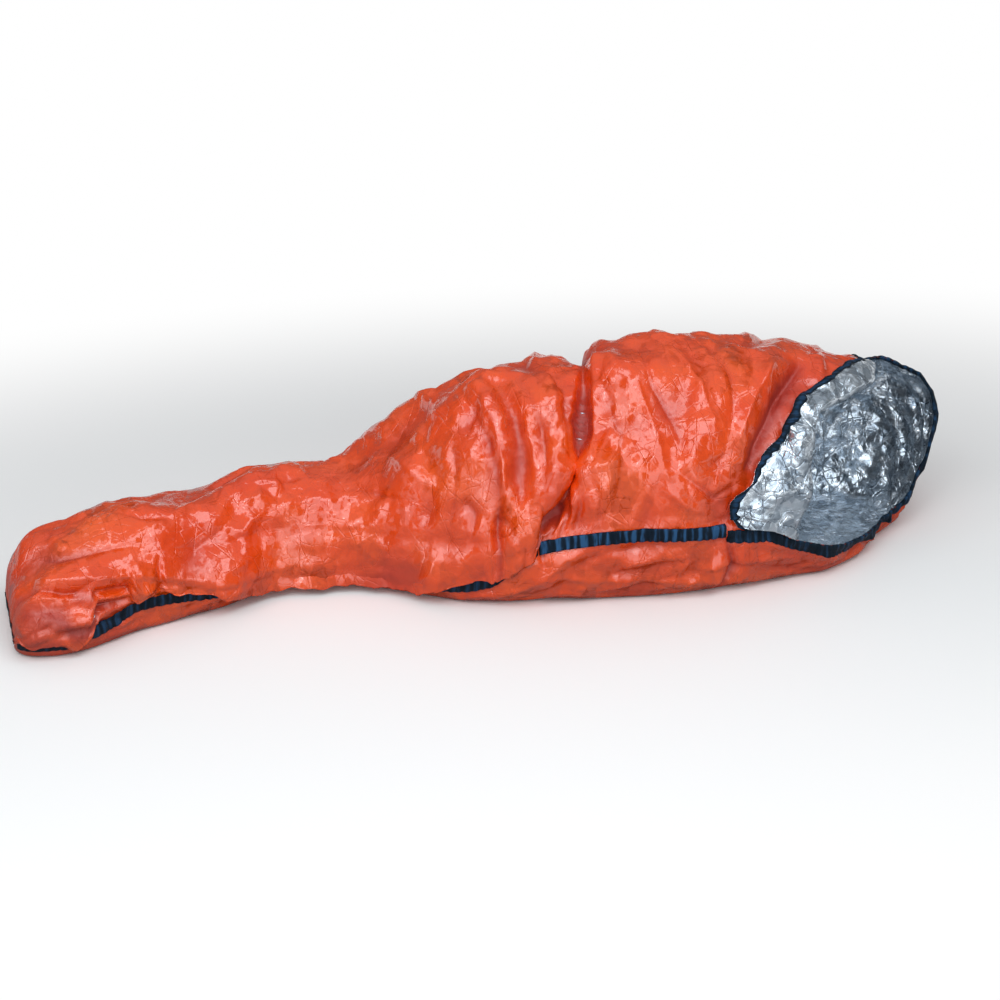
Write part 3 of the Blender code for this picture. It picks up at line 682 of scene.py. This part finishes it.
for c, x in enumerate(body_x):
    share = float(hang_share(x))
    if share <= 0.01:
        continue
    edge = seam_share[c] * wall_length[c] + TAPE_WIDTH / 2
    t = (up_wall[c] - edge) / HANG_LENGTH
    rows_here = np.where((t > 0) & (t < 1))[0]
    t = t[rows_here]
    here, own_wall = film_net[c, rows_here], film_net[c, FIRST_WALL_ROW:]
    start, end = here[0], here[-1]
    ripple = HANG_RIPPLE * (math.sin(x * 61.0) + math.sin(x * 143.0 + 1.0))
    lip_z = max(start[2] - float(hang_drop(x)) + ripple, LOWEST_LIP)
    lip_y = min(start[1], end[1]) - HANG_OUT * min(max(0.35 + (x + 0.8) / 0.15, 0.35), 1.0)
    down = unit(t / HANG_TURN)
    back_up = unit((t - HANG_TURN) / (1 - HANG_TURN))
    z = start[2] + (lip_z - start[2]) * down * down * (3 - 2 * down) + (end[2] - lip_z) * back_up ** 0.9
    y = start[1] + (lip_y - start[1]) * np.sin(down * math.pi / 2) + (end[1] - lip_y) * back_up ** 2.2
    y = here[:, 1] + (y - here[:, 1]) * share
    z = here[:, 2] + (z - here[:, 2]) * share
    held = unit(5 * np.minimum(t, 1 - t)) * min(1, share / 0.3)
    outer = unit(back_up * 6)
    y = y - (0.9 * fine * hold + sharp)[c, rows_here] * held * outer
    # It stays outside the body, and its outer ply outside the inner one
    around = film_net[max(c - NEAR_COLUMNS, 0):c + NEAR_COLUMNS + 1, FIRST_WALL_ROW:]
    close = np.abs(around[None, :, :, 2] - z[:, None, None]) < NEAR_HEIGHT
    body_y = np.where(close, around[None, :, :, 1], np.inf).min((1, 2))
    outside = np.minimum(y, body_y - HANG_CLEAR - HANG_GAP * outer)
    y = y + (outside - y) * held
    own_z = np.maximum.accumulate(own_wall[:, 2])
    hung_net[c, rows_here, 1] = np.minimum(y, np.interp(z, own_z, own_wall[:, 1]))
    hung_net[c, rows_here, 2] = z
hung_net[:, :, 2] = np.maximum(hung_net[:, :, 2], 0.0)
hung_out = facing_out(hung_net)


def laid(column, share, lift, net=None):
    """Points on the film at these columns and shares of the wall, raised by lift."""
    places, normals = (film_net, film_out) if net is None else net
    outward = between(normals, column, share)
    outward /= np.maximum(np.linalg.norm(outward, axis=-1, keepdims=True), 1e-9)
    return between(places, column, share) + outward * np.asarray(lift)[..., None]


WELD_DISTANCE = 0.00002


def distances(line):
    """Distance along a line of points to each of them."""
    return np.concatenate(([0], np.cumsum(np.linalg.norm(np.diff(line, axis=0), axis=1))))


def sheet_mesh(name, places, flip=False, mark=None):
    """Mesh of a net of points, as one sheet, with its UV map in metres along and across it.

    It keeps mark for each point, which its material reads: how deep film lies in a fold, which the
    film's material paints as shade, or how high tape stands in a pucker, which it paints as sheen.
    """
    rows, count = places.shape[:2]
    along, over = distances(places[rows // 2]), distances(places[:, count // 2])
    bm = bmesh.new()
    layer = bm.loops.layers.uv.new("UVMap")
    kept = bm.verts.layers.float.new("shade_and_sheen_mark") if mark is not None else None
    bmesh.ops.create_grid(bm, x_segments=count - 1, y_segments=rows - 1, size=1.0)
    for vert in bm.verts:
        column, row = round((vert.co.x + 1) / 2 * (count - 1)), round((vert.co.y + 1) / 2 * (rows - 1))
        vert.co = places[row, column]
        for loop in vert.link_loops:
            loop[layer].uv = (along[column], over[row])
        if kept is not None:
            vert[kept] = mark[row, column]
    bmesh.ops.remove_doubles(bm, verts=bm.verts[:], dist=WELD_DISTANCE)
    if flip:
        bmesh.ops.reverse_faces(bm, faces=bm.faces[:])
    piece = mesh_object(bm, name)
    piece.data.shade_smooth()
    return piece


def fix_to_bag(piece, finish, node):
    """Gives a piece its finish and fixes it to the bag, in place of its CAD node."""
    piece.data.materials.append(finish)
    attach(piece, "bag")
    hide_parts(node)


# Net of the top panel: across it from the near seam over the ridge to the far seam, along it
# from the foot seam to the mouth's fold. Each point is a column of the skin and a share.
NEAR_ROWS = 121
FAR_ROWS = 65
FILM_SHORT_OF_FOLD = 0.004
SEAM_TO_TAPE_EDGE = 0.027
MOUTH_STEPS = 104
across = np.concatenate((np.linspace(0, 1, NEAR_ROWS), np.linspace(1, 2, FAR_ROWS)[1:]))
to_cuff = body_x[body_x < CUFF_START_X - 0.002]


def top_panel_net(short_of_fold):
    """Columns and shares of the top panel, which ends this far before the mouth's fold."""
    straight = np.repeat(to_cuff[None, :], len(across), 0)
    level = 1 - (1 - np.abs(across - 1) - SEAM_TO_TAPE_EDGE) / (1 - SEAM_TO_TAPE_EDGE)
    reach = fold_x(1 + np.sign(across - 1) * level)[:, None] - short_of_fold - CUFF_START_X
    places = np.concatenate((straight, CUFF_START_X + reach * np.linspace(0, 1, MOUTH_STEPS)[None, :]), 1)
    column = column_of(places, np.repeat((across > 1)[:, None], places.shape[1], 1))
    seam = at_column(seam_share, column)
    return column, seam + (1 - seam) * np.where(across <= 1, across, 2 - across)[:, None]


top_column, top_share = top_panel_net(FILM_SHORT_OF_FOLD)
top_film = sheet_mesh(
    "top_film_sheet", laid(top_column, top_share, 0.0, (hung_net, hung_out)),
    mark=between(shade_painted_at, top_column, top_share),
)

# Crumple of thin film: flat facets in three sizes that each lean their own way, with small
# sharp creases that come and go and softer dents over them. Facets: scale, lean and stretch.
# Creases: scale, width, height and stretch.
LEANING_FACETS = ((14, 0.3, (1.6, 0.8, 0.8)), (32, 0.26, (1.3, 1, 0.7)), (84, 0.2, (1, 1, 1)))
SMALL_CREASES = ((13, 0.03, 50, (1.7, 0.8, 0.8)), (32, 0.05, 22, (0.8, 1.3, 1)))
crinkle = tree = bpy.data.node_groups.new("film_crumple", "ShaderNodeTree")
for name, way, kind in (
    ("Vector", "INPUT", "Vector"), ("Size", "INPUT", "Float"), ("Lean", "INPUT", "Float"),
    ("Height", "OUTPUT", "Float"), ("Patches", "OUTPUT", "Float"), ("Normal", "OUTPUT", "Vector"),
):
    socket = crinkle.interface.new_socket(name, in_out=way, socket_type="NodeSocket" + kind)
    if name in ("Size", "Lean"):
        socket.default_value = 1
given = crinkle.nodes.new("NodeGroupInput").outputs


def scaled_by(vector, scale):
    """Vector of the crumple times a number or a socket."""
    return new_node(crinkle, "VectorMath", {0: vector, "Scale": scale}, operation="SCALE").outputs[0]


place = scaled_by(given["Vector"], given["Size"])
patches = new_node(tree, "TexNoise", {"Vector": place, "Scale": 7.0, "Detail": 4.0}).outputs["Fac"]
leaning = None
for scale, lean, stretch in LEANING_FACETS:
    stretched = vectors(tree, "MULTIPLY", place, stretch)
    cells = new_node(tree, "TexVoronoi", {"Vector": stretched, "Scale": scale}).outputs["Color"]
    one = scaled_by(vectors(tree, "SUBTRACT", cells, (0.5, 0.5, 0.5)), lean)
    leaning = one if leaning is None else vectors(tree, "ADD", leaning, one)
strength = maths(tree, "MULTIPLY", maths(tree, "MULTIPLY_ADD", patches, 2.6, -0.35), given["Lean"])
outward = new_node(tree, "NewGeometry").outputs["Normal"]
leaned = vectors(tree, "NORMALIZE", vectors(tree, "ADD", outward, scaled_by(leaning, strength)))
heights = []
for scale, width, height, stretch in SMALL_CREASES:
    stretched = vectors(tree, "MULTIPLY", place, stretch)
    cells = new_node(tree, "TexVoronoi", {"Vector": stretched, "Scale": scale}, feature="DISTANCE_TO_EDGE")
    edge = maths(tree, "MINIMUM", cells.outputs["Distance"], width)
    heights.append(maths(tree, "MULTIPLY", edge, height))
come_and_go = new_node(tree, "TexNoise", {"Vector": place, "Scale": 16.0}).outputs["Fac"]
shown = in_range(tree, come_and_go, (0.4, 0.64), (0.0, 1.0))
small = {"Vector": place, "Scale": 60.0, "Detail": 5.0, "Roughness": 0.6}
dents = new_node(tree, "TexNoise", small).outputs["Fac"]
creases = maths(tree, "MULTIPLY", maths(tree, "ADD", *heights), shown)
height = maths(tree, "ADD", creases, dents)
set_inputs(tree, tree.nodes.new("NodeGroupOutput"), {"Height": height, "Patches": patches, "Normal": leaned})


def crumple_on(tree, strength, distance, inputs):
    """Place on the film, the patches of its crumple, and its bump at this strength and distance."""
    place = new_node(tree, "TexCoord").outputs["Object"]
    crumple = new_node(tree, "Group", {"Vector": place, **inputs}, node_tree=crinkle).outputs
    bump = new_node(tree, "Bump", {
        "Strength": strength, "Distance": distance, "Height": crumple["Height"], "Normal": crumple["Normal"],
    })
    return place, crumple["Patches"], bump.outputs["Normal"]


def colour_ramp(tree, factor, stops):
    """Colour between stops, each a place and a colour."""
    ramp = new_node(tree, "ValToRGB", {"Fac": factor})
    while len(ramp.color_ramp.elements) < len(stops):
        ramp.color_ramp.elements.new(0.5)
    for element, (place, colour) in zip(ramp.color_ramp.elements, stops):
        element.position = place
        element.color = (*colour, 1)
    return ramp.outputs["Color"]


# Orange that is painted darker in the hollows of the folds and low at the foot, as painted shade, and duller
# there
NOISE_RANGE = (0.25, 0.75)
PAINTED_SHADE_COLOUR = (0.32, 0.01, 0.004, 1)
orange, tree, shader = new_material("orange_film_glossy")
_, patches, dented = crumple_on(tree, 0.5, 0.0012, {})
painted_shade = new_node(tree, "Attribute", attribute_name="shade_and_sheen_mark").outputs["Fac"]
unshaded_tone = colour_ramp(tree, patches, (
    (0.3, (0.74, 0.048, 0.002)), (0.52, (0.82, 0.068, 0.003)), (0.75, (0.86, 0.092, 0.005)),
))
# Painted shade: the colour is mixed towards dark red by the fold mark
painted_shade_share = maths(tree, "MULTIPLY", painted_shade, 0.82)
colour = new_node(tree, "Mix", {"Factor": painted_shade_share, "A": unshaded_tone, "B": PAINTED_SHADE_COLOUR}, data_type="RGBA")
gloss = in_range(tree, patches, NOISE_RANGE, (0.13, 0.24))
set_inputs(tree, shader, {
    "Base Color": colour.outputs["Result"], "Roughness": maths(tree, "MULTIPLY_ADD", painted_shade, 0.42, gloss),
    "Normal": dented, "Specular IOR Level": 1.0,
})
fix_to_bag(top_film, orange, "top_film")

# ---- base panel, orange film
# The lower half of the bag: one sheet of the same film under the body, up both sides to the
# seams, and round the head end as the lip in front of the mouth and the hood behind it.
FLOOR_ROWS = 8
WALL_ROWS = 56
FLOOR_SHARE = 0.32
rows = np.concatenate((np.linspace(0, FLOOR_SHARE, FLOOR_ROWS)[:-1], np.linspace(FLOOR_SHARE, 1, WALL_ROWS)))
base_column = np.repeat(np.arange(len(columns), dtype=float)[None, :], len(rows), 0)
base_share = rows[:, None] * seam_share[None, :]
base_film = sheet_mesh(
    "base_film_sheet", laid(base_column, base_share, 0.0), flip=True,
    mark=between(shade_painted_at, base_column, base_share),
)
fix_to_bag(base_film, orange, "base_film")

# ---- silvered lining of both panels
# Film with a vacuum coat of metal, bonded to the inside of the orange film, so it follows each
# of its folds. It shows inside the mouth, the lip and the hood.
LINING_DEPTH = 0.0014
DEEPER_UNDER_HANG = 0.003
silver, tree, shader = new_material("silver_foil_crumpled")
place, patches, dented = crumple_on(tree, 0.8, 0.0022, {"Size": 1.25, "Lean": 1.15})
# The lining's colour runs from dark blue-grey to pale silver per small facet and in broad patches: painted
# reflection, for the light and dark that each crumpled facet mirrors
cells = new_node(tree, "TexVoronoi", {"Vector": place, "Scale": 60.0}).outputs["Color"]
facet_reflection = maths(tree, "MULTIPLY", new_node(tree, "SeparateColor", {"Color": cells}).outputs["Red"], 0.45)
broad_reflection = maths(tree, "MULTIPLY", patches, 0.6)
set_inputs(tree, shader, {
    "Base Color": colour_ramp(tree, maths(tree, "ADD", facet_reflection, broad_reflection), (
        (0.2, (0.3, 0.36, 0.43)), (0.45, (0.54, 0.61, 0.68)), (0.8, (0.82, 0.88, 0.94)),
    )),
    "Roughness": in_range(tree, patches, NOISE_RANGE, (0.16, 0.3)), "Metallic": 0.88, "Normal": dented,
})

lining_column, lining_share = top_panel_net(0.0)
hanging = np.array([max(float(hang_share(x)), 0.0) for x in body_x] + [0.0] * (len(columns) - BODY_COLUMNS))
inside = -LINING_DEPTH - DEEPER_UNDER_HANG * at_column(hanging, lining_column)
top_lining = sheet_mesh("top_lining_sheet", laid(lining_column, lining_share, inside), flip=True)
base_lining = sheet_mesh("base_lining_sheet", laid(base_column, base_share, -LINING_DEPTH))
for piece, node, rests, flat in (
    (top_lining, "top_lining", "top_film_sheet", (0.81, 1.75)),
    (base_lining, "base_lining", "base_film_sheet", (0.81, 2.03)),
):
    fix_to_bag(piece, silver, node)

# ---- tapes
# Narrow black woven tape with a slight sheen. It is sewn over both side seams and the foot
# seam, and the side closure is two such tapes, loop below and hook above, pressed together.
TAPE = 0.0011
TAPE_AIR = 0.0012
HOOK_AIR = 0.0006
STITCH_PITCH = 0.017
NEAR_PITCH, FAR_PITCH, RIM_PITCH = 0.0028, 0.004, 0.75
TAPE_ROWS = 9
TURNED_IN_ROWS = 4


def new_tape_material(name, base, sheen):
    """Black woven tape; bars of sheen run across it where the stitches pucker it, a painted highlight in its
    colour.
    """
    made, tree, shader = new_material(name)
    place = new_node(tree, "UVMap").outputs["UV"]
    stretched = vectors(tree, "MULTIPLY", place, (95.0, 16.0, 1.0))
    bars = new_node(tree, "TexNoise", {"Vector": stretched, "Scale": 1.0, "Detail": 3.0}).outputs["Fac"]
    crest_sheen = new_node(tree, "Attribute", attribute_name="shade_and_sheen_mark").outputs["Fac"]
    # Painted highlight: the colour runs from black to a blue sheen on the crests of the puckers and in
    # random bars
    lit = maths(tree, "MULTIPLY_ADD", crest_sheen, 0.34, bars)
    weave = new_node(tree, "TexWave", {"Vector": place, "Scale": 420.0, "Distortion": 0.8}).outputs["Fac"]
    bump = new_node(tree, "Bump", {"Strength": 0.45, "Distance": 0.0006, "Height": weave})
    set_inputs(tree, shader, {
        "Base Color": colour_ramp(tree, lit, (
            (0.52, base), (0.68, tuple(2.0 * c for c in base)), (0.84, sheen),
        )),
        "Roughness": in_range(tree, bars, NOISE_RANGE, (0.7, 0.4)), "Normal": bump.outputs["Normal"],
        "Specular Tint": (0.3, 0.62, 1.0, 1), "Specular IOR Level": 0.35,
    })
    return made


black_tape = new_tape_material("black_woven_tape", (0.003, 0.004, 0.006), (0.016, 0.044, 0.095))
hook_tape = new_tape_material("black_hook_tape", (0.003, 0.004, 0.007), (0.028, 0.09, 0.2))


def thicken(piece):
    """Gives a tape its thickness, outwards."""
    wall = piece.modifiers.new("thickness", "SOLIDIFY")
    wall.thickness = TAPE
    wall.offset = 1.0


def tape(name, column, edges, lift, finish, node, pucker, seed, turned_in=0.0):
    """Tape along the seam, between edges below and above it.

    Its stitches draw it together, so it puckers and narrows at each of them. A binding is also
    turned in over the film's edge, by turned_in.
    """
    seam, wall = at_column(seam_share, column), at_column(wall_length, column)
    run = distances(laid(column, seam, 0.0))
    draw = np.random.default_rng(seed)
    stitches = int(run[-1] / STITCH_PITCH) + 3
    places = (np.arange(stitches) + draw.uniform(-0.25, 0.25, stitches)) * STITCH_PITCH
    size = np.interp(run, places, draw.uniform(0.45, 1.25, stitches))
    tilt = np.interp(run, places, draw.uniform(-1.0, 1.0, stitches))
    gap = np.abs(run[:, None] - places[None, :]).min(1) / (STITCH_PITCH / 2)
    billow = unit(gap) ** 0.6
    narrow = 1 - (0.2 * (1 - billow) + 0.08 * tilt) * min(1, pucker / 0.001)
    over = np.linspace(-1, 1, TAPE_ROWS)[:, None]
    across = (edges[1] + edges[0]) / 2 + over * ((edges[1] - edges[0]) / 2 * narrow[None, :])
    share = seam + across / wall
    raised_by = pucker * size * billow * (1 - 0.35 * over ** 2) * (1 + 0.55 * tilt * over)
    columns_here = np.repeat(column[None, :], TAPE_ROWS, 0)
    places = laid(columns_here, share, lift + raised_by)
    # How high each pucker stands, which the tape's material paints as a blue sheen: painted highlight
    crest_sheen = np.broadcast_to(size * billow, raised_by.shape)
    if turned_in:
        steps_in = np.linspace(0.1, 1.0, TURNED_IN_ROWS)[:, None] * turned_in / wall
        inner = laid(columns_here[:TURNED_IN_ROWS], share[-1] - steps_in, -LINING_DEPTH - TAPE_AIR)
        places, crest_sheen = np.concatenate((places, inner)), np.concatenate((crest_sheen, crest_sheen[:TURNED_IN_ROWS]))
    piece = sheet_mesh(name, places, mark=crest_sheen)
    thicken(piece)
    fix_to_bag(piece, finish, node)


def run_of(from_x, to_x, far, pitch):
    """Columns of the skin between two places on the near or the far side."""
    xs = np.linspace(from_x, to_x, int(abs(to_x - from_x) / pitch))
    return column_of(xs, np.full(len(xs), far))


seam_edges = (-TAPE_WIDTH / 2, TAPE_WIDTH / 2)
leg_run = run_of(-0.955, 0.082, False, NEAR_PITCH)
closed_run = run_of(0.085, 0.468, False, NEAR_PITCH)
far_run = run_of(-0.955, 0.88, True, FAR_PITCH)
on_loop = TAPE_AIR + TAPE + HOOK_AIR
for name, run, lift, finish, slot, node, pucker, seed in (
    ("near_leg_tape_strip", leg_run, TAPE_AIR, black_tape, "black_tape", "near_leg_tape", 0.001, 401),
    ("closure_loop_strip", closed_run, TAPE_AIR, black_tape, "black_tape", "closure_loop_tape", 0, 402),
    ("closure_hook_strip", closed_run, on_loop, hook_tape, "hook_tape", "closure_hook_tape", 0.0017, 403),
    ("far_side_tape_strip", far_run, TAPE_AIR, black_tape, "black_tape", "far_side_tape", 0.001, 404),
):
    tape(name, run, seam_edges, lift, finish, node, pucker, seed)

# Binding on the lip and the hood: the same tape, along the base panel's free rim
rim_column = np.arange(column_of(0.472, False), column_of(0.886, True), RIM_PITCH)
rim_edges = (-TAPE_WIDTH, 0.0006)
tape(
    "lip_binding_strip", rim_column, rim_edges, TAPE_AIR, black_tape, "lip_binding",
    pucker=0.0014, seed=405, turned_in=0.01,
)

# ---- turned-back cuff
# The end of the top panel, turned back over itself at the mouth. Its silvered side shows, its
# free edge is bound in black, and its near end is a loose flap over the mouth.
CUFF_STEPS = 44
CUFF_ROWS = 150
CUFF_END_LEVEL = 1.13
CORNER_LEVEL = 0.1
CORNER_IN = 0.036
CUFF_BELOW = 0.011
BOUND_WIDTH = 0.019
LOFT, LOFT_OF_ROLL, LOFT_OF_WAVES = 0.0064, 0.0085, 0.0026
levels = np.linspace(0, CUFF_END_LEVEL, CUFF_ROWS)
back = np.linspace(0, 1, CUFF_STEPS)
corner = unit(1 - levels / CORNER_LEVEL)
free_edge = free_x(levels) + CORNER_IN * (1 - np.sqrt(1 - corner ** 2))
cuff_x = fold_x(levels)[:, None] + (free_edge - fold_x(levels))[:, None] * back[None, :]
cuff_far = np.repeat((levels > 1)[:, None], CUFF_STEPS, 1)
cuff_column = column_of(cuff_x, cuff_far)
cuff_length = at_column(wall_length, cuff_column)
level_up = np.where(levels <= 1, levels, 2 - levels)[:, None]
edge_share = at_column(seam_share, cuff_column) + TAPE_WIDTH / 2 / cuff_length
hang = CUFF_BELOW * corner[:, None] / cuff_length
cuff_share = edge_share - hang + (1 - edge_share) * level_up
wavy = swell(laid(cuff_column, cuff_share, 0.0), 0.05, 71)
loft = LOFT + LOFT_OF_ROLL * np.sin(math.pi * back ** 0.6)[None, :] + LOFT_OF_WAVES * (1 + wavy)
lies_flat = 1 - 0.75 * unit((levels - 0.96) / 0.1)[:, None]
loft *= lies_flat
fold_rise = unit(back * 9)[None, :] ** 0.5
cuff_places = laid(cuff_column, cuff_share, loft * fold_rise + 0.0006)
out_of_cuff = between(film_out, cuff_column, cuff_share)
crushed_cuff = 0.003 * crushed(cuff_places, 0.042, 80, 6) + 0.0016 * crushed(cuff_places, 0.019, 81, 7)
cuff_places += out_of_cuff * (crushed_cuff * fold_rise * lies_flat ** 2)[..., None]
# The cuff's orange ply gets a fixed fold mark of 0.3, so its colour is painted a little darker all over, as
# painted shade, and it is a little duller
cuff_film = sheet_mesh("cuff_film_sheet", cuff_places[:, 2:], mark=np.full(cuff_x[:, 2:].shape, 0.3))
lining_places = cuff_places + out_of_cuff * (0.0014 * fold_rise[..., None] + 0.0003)
lining_places[:, 0] = laid(cuff_column[:, 0], cuff_share[:, 0], -LINING_DEPTH)
cuff_lining = sheet_mesh("cuff_lining_sheet", lining_places)

# Its binding: a puckered strip along the free edge, which runs out at the rounded corner
cuff_width = np.abs(fold_x(levels) - free_edge)
bound_share = np.clip(BOUND_WIDTH / cuff_width, 0.05, 0.6)
draw = np.random.default_rng(406)
puckers = np.interp(np.arange(CUFF_ROWS) / 3.0, np.arange(CUFF_ROWS), draw.uniform(0.55, 1.15, CUFF_ROWS))
over = np.linspace(0, 1, TAPE_ROWS)[None, :]
bound_at = (1 - bound_share * puckers)[:, None] * (1 - over) + over
binding_steps = bound_at * (CUFF_STEPS - 1)
low = np.clip(binding_steps.astype(int), 0, CUFF_STEPS - 2)
part_way = (binding_steps - low)[..., None]
row_of = np.arange(CUFF_ROWS)[:, None]
under = lining_places[row_of, low] * (1 - part_way) + lining_places[row_of, low + 1] * part_way
outward = out_of_cuff[row_of, low]
lift = 0.0012 + 0.0016 * puckers[:, None] * np.sin(math.pi * over) ** 0.7
# Its mark is how high each pucker stands, which the tape's material paints as a blue sheen: painted
# highlight
cuff_binding = sheet_mesh(
    "cuff_binding_strip", np.swapaxes(under + outward * lift[..., None], 0, 1), flip=True,
    mark=np.broadcast_to(puckers[None, :] * np.sin(math.pi * over.T), (TAPE_ROWS, CUFF_ROWS)),
)
thicken(cuff_binding)
for piece, finish, slot, stands_for in (
    (cuff_film, orange, "orange_film", ("cuff_film", "flap_film")),
    (cuff_lining, silver, "silver_lining", ("cuff_lining", "flap_lining")),
    (cuff_binding, black_tape, "black_tape", ("cuff_binding", "flap_binding")),
):
    piece.data.materials.append(finish)
    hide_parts(*stands_for)
    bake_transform(piece)

# ---- foot seam tape
# A short length of the same black tape across the foot end, sewn over the seam of both panels.
FOOT_TAPE_FROM, FOOT_TAPE_TO = 0.3, 3.0
FOOT_TAPE_STEPS, FOOT_TAPE_ROWS = 110, 6
foot_across = np.linspace(0.02, 1.98, FOOT_TAPE_STEPS)
foot_far = foot_across > 1
foot_up = np.where(foot_far, 2 - foot_across, foot_across)
foot_step = np.linspace(FOOT_TAPE_FROM, FOOT_TAPE_TO, FOOT_TAPE_ROWS)
foot_column = np.where(foot_far[None, :], len(columns) - 1 - foot_step[:, None], foot_step[:, None])
foot_seam = at_column(seam_share, foot_column)
foot_share = foot_seam + (1 - foot_seam) * foot_up[None, :]
foot_tape = sheet_mesh("foot_seam_strip", laid(foot_column, foot_share, TAPE_AIR), flip=True)
fix_to_bag(foot_tape, black_tape, "foot_seam_tape")

# ---- size of the finished bag
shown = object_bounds()
